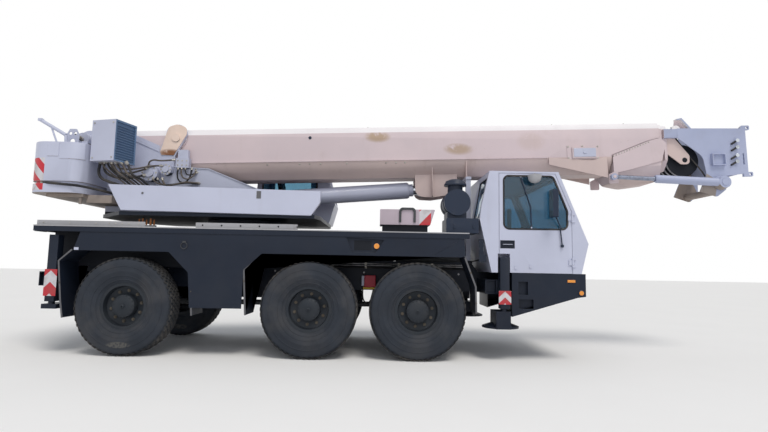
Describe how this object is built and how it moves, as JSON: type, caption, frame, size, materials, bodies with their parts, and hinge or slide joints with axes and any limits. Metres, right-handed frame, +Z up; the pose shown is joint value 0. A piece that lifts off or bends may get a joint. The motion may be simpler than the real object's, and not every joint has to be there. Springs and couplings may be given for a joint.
{
  "type": "mobile crane",
  "caption": "All-terrain mobile crane with a full-width driver cab, slewing upper structure, luffing telescopic boom and outriggers.",
  "frame": {"origin": "middle of the overall length and width, on the ground under the wheels", "axes": "+X forward, towards the driver cab; +Y to the left of the crane; +Z up"},
  "size_m": [12.0486, 2.95, 4.1082],
  "materials": {
    "crane_white": "satin, weathered",
    "carrier_dark": "satin, dusty",
    "rubber_tyre": "matt, dusty",
    "wheel_dark": "satin",
    "glass": "gloss",
    "bare_steel": "worn",
    "chrome_rod": "polished",
    "seat_cloth": "woven",
    "black_plastic": "matt",
    "lamp_lens": "gloss",
    "boom_white": "satin, weathered"
  },
  "bodies": {
    "carrier": {"chassis_frame": "carrier_dark", "deck": "carrier_dark", "side_panels": "carrier_dark", "mudguards": "carrier_dark", "engine_block": "bare_steel", "axle_beams": "carrier_dark", "cab_shell": "crane_white", "cab_glass": "glass", "bumper": "carrier_dark", "seats": "seat_cloth", "dashboard": "black_plastic", "lamps": "lamp_lens", "air_filter": "black_plastic", "deck_box": "crane_white"},
    "door_right": {"door_right": "crane_white", "door_glass_right": "glass", "mirror_right": "black_plastic"},
    "door_left": {"door_left": "crane_white", "door_glass_left": "glass", "mirror_left": "black_plastic"},
    "superstructure": {"turntable": "crane_white", "counterweight": "crane_white", "winch": "crane_white", "cooler_box": "crane_white", "fairings": "crane_white", "operator_cab": "crane_white", "operator_glass": "glass", "operator_seat": "seat_cloth"},
    "operator_door": {"operator_door": "crane_white"},
    "boom": {"boom_base": "boom_white"},
    "boom_section_2": {"boom_section_2": "boom_white"},
    "boom_head": {"boom_head": "boom_white", "head_sheaves": "bare_steel", "jib_cylinder": "crane_white"},
    "luff_barrel": {"luff_barrel": "crane_white"},
    "luff_rod": {"luff_rod": "chrome_rod"},
    "knuckle_front_right": {"knuckle_front_right": "carrier_dark"},
    "knuckle_front_left": {"knuckle_front_left": "carrier_dark"},
    "knuckle_middle_right": {"knuckle_middle_right": "carrier_dark"},
    "knuckle_middle_left": {"knuckle_middle_left": "carrier_dark"},
    "wheel_front_right": {"tyre_front_right": "rubber_tyre", "rim_front_right": "wheel_dark"},
    "wheel_front_left": {"tyre_front_left": "rubber_tyre", "rim_front_left": "wheel_dark"},
    "wheel_middle_right": {"tyre_middle_right": "rubber_tyre", "rim_middle_right": "wheel_dark"},
    "wheel_middle_left": {"tyre_middle_left": "rubber_tyre", "rim_middle_left": "wheel_dark"},
    "wheel_rear_right": {"tyre_rear_right": "rubber_tyre", "rim_rear_right": "wheel_dark"},
    "wheel_rear_left": {"tyre_rear_left": "rubber_tyre", "rim_rear_left": "wheel_dark"},
    "beam_front_right": {"outrigger_beam_front_right": "carrier_dark"},
    "foot_front_right": {"outrigger_foot_front_right": "carrier_dark"},
    "beam_front_left": {"outrigger_beam_front_left": "carrier_dark"},
    "foot_front_left": {"outrigger_foot_front_left": "carrier_dark"},
    "beam_rear_right": {"outrigger_beam_rear_right": "carrier_dark"},
    "foot_rear_right": {"outrigger_foot_rear_right": "carrier_dark"},
    "beam_rear_left": {"outrigger_beam_rear_left": "carrier_dark"},
    "foot_rear_left": {"outrigger_foot_rear_left": "carrier_dark"}
  },
  "joints": [
    {"name": "steer_front_right", "type": "hinge", "parent": "carrier", "child": "knuckle_front_right", "pos_m": [0.1257, -0.9, 0.74], "axis": [0, 0, 1], "range_deg": [-25, 25]},
    {"name": "steer_front_left", "type": "hinge", "parent": "carrier", "child": "knuckle_front_left", "pos_m": [0.1257, 0.9, 0.74], "axis": [0, 0, 1], "range_deg": [-25, 25]},
    {"name": "steer_middle_right", "type": "hinge", "parent": "carrier", "child": "knuckle_middle_right", "pos_m": [-1.5243, -0.9, 0.74], "axis": [0, 0, 1], "range_deg": [-16.25, 16.25]},
    {"name": "steer_middle_left", "type": "hinge", "parent": "carrier", "child": "knuckle_middle_left", "pos_m": [-1.5243, 0.9, 0.74], "axis": [0, 0, 1], "range_deg": [-16.25, 16.25]},
    {"name": "spin_front_right", "type": "hinge", "parent": "knuckle_front_right", "child": "wheel_front_right", "pos_m": [0.1257, -1.125, 0.74], "axis": [0, 1, 0], "continuous": true},
    {"name": "spin_front_left", "type": "hinge", "parent": "knuckle_front_left", "child": "wheel_front_left", "pos_m": [0.1257, 1.125, 0.74], "axis": [0, 1, 0], "continuous": true},
    {"name": "spin_middle_right", "type": "hinge", "parent": "knuckle_middle_right", "child": "wheel_middle_right", "pos_m": [-1.5243, -1.125, 0.74], "axis": [0, 1, 0], "continuous": true},
    {"name": "spin_middle_left", "type": "hinge", "parent": "knuckle_middle_left", "child": "wheel_middle_left", "pos_m": [-1.5243, 1.125, 0.74], "axis": [0, 1, 0], "continuous": true},
    {"name": "spin_rear_right", "type": "hinge", "parent": "carrier", "child": "wheel_rear_right", "pos_m": [-4.3143, -1.125, 0.74], "axis": [0, 1, 0], "continuous": true},
    {"name": "spin_rear_left", "type": "hinge", "parent": "carrier", "child": "wheel_rear_left", "pos_m": [-4.3143, 1.125, 0.74], "axis": [0, 1, 0], "continuous": true},
    {"name": "slide_front_right", "type": "slide", "parent": "carrier", "child": "beam_front_right", "axis": [0, -1, 0], "range_m": [0, 1.8]},
    {"name": "jack_front_right", "type": "slide", "parent": "beam_front_right", "child": "foot_front_right", "axis": [0, 0, -1], "range_m": [0, 0.55]},
    {"name": "slide_front_left", "type": "slide", "parent": "carrier", "child": "beam_front_left", "axis": [0, 1, 0], "range_m": [0, 1.8]},
    {"name": "jack_front_left", "type": "slide", "parent": "beam_front_left", "child": "foot_front_left", "axis": [0, 0, -1], "range_m": [0, 0.55]},
    {"name": "slide_rear_right", "type": "slide", "parent": "carrier", "child": "beam_rear_right", "axis": [0, -1, 0], "range_m": [0, 1.8]},
    {"name": "jack_rear_right", "type": "slide", "parent": "beam_rear_right", "child": "foot_rear_right", "axis": [0, 0, -1], "range_m": [0, 0.74]},
    {"name": "slide_rear_left", "type": "slide", "parent": "carrier", "child": "beam_rear_left", "axis": [0, 1, 0], "range_m": [0, 1.8]},
    {"name": "jack_rear_left", "type": "slide", "parent": "beam_rear_left", "child": "foot_rear_left", "axis": [0, 0, -1], "range_m": [0, 0.74]},
    {"name": "door_right", "type": "hinge", "parent": "carrier", "child": "door_right", "pos_m": [2.5007, -1.266, 1.5], "axis": [0, 0, 1], "range_deg": [0, 70]},
    {"name": "door_left", "type": "hinge", "parent": "carrier", "child": "door_left", "pos_m": [2.5007, 1.266, 1.5], "axis": [0, 0, -1], "range_deg": [0, 70]},
    {"name": "slew", "type": "hinge", "parent": "carrier", "child": "superstructure", "pos_m": [-2.8243, 0, 2.03], "axis": [0, 0, 1], "continuous": true},
    {"name": "operator_door_hinge", "type": "hinge", "parent": "superstructure", "child": "operator_door", "pos_m": [-2.7203, 1.266, 2.4], "axis": [0, 0, 1], "range_deg": [0, 80]},
    {"name": "luff", "type": "hinge", "parent": "superstructure", "child": "boom", "pos_m": [-4.0113, 0, 3.545], "axis": [0, -1, 0], "range_deg": [0, 79]},
    {"name": "telescope_2", "type": "slide", "parent": "boom", "child": "boom_section_2", "axis": [0.9993, 0, 0.0366], "range_m": [0, 6.8]},
    {"name": "telescope_head", "type": "slide", "parent": "boom_section_2", "child": "boom_head", "axis": [0.9993, 0, 0.0366], "range_m": [0, 6.8]},
    {"name": "luff_cylinder", "type": "hinge", "parent": "superstructure", "child": "luff_barrel", "pos_m": [-2.8743, 0, 2.53], "axis": [0, -1, 0], "range_deg": [0, 80.97]},
    {"name": "luff_stroke", "type": "slide", "parent": "luff_barrel", "child": "luff_rod", "axis": [0.9964, 0, 0.0851], "range_m": [0, 1.9462]}
  ],
  "couplings": [
    {"joint": "steer_front_left", "follows": "steer_front_right", "ratio": 1},
    {"joint": "steer_middle_right", "follows": "steer_front_right", "ratio": 0.65},
    {"joint": "steer_middle_left", "follows": "steer_front_right", "ratio": 0.65},
    {"joint": "telescope_head", "follows": "telescope_2", "ratio": 1},
    {"joint": "luff_cylinder", "follows": "luff", "ratio": 1.0185},
    {"joint": "luff_stroke", "follows": "luff", "m_per_rad": 1.4043}
  ]
}
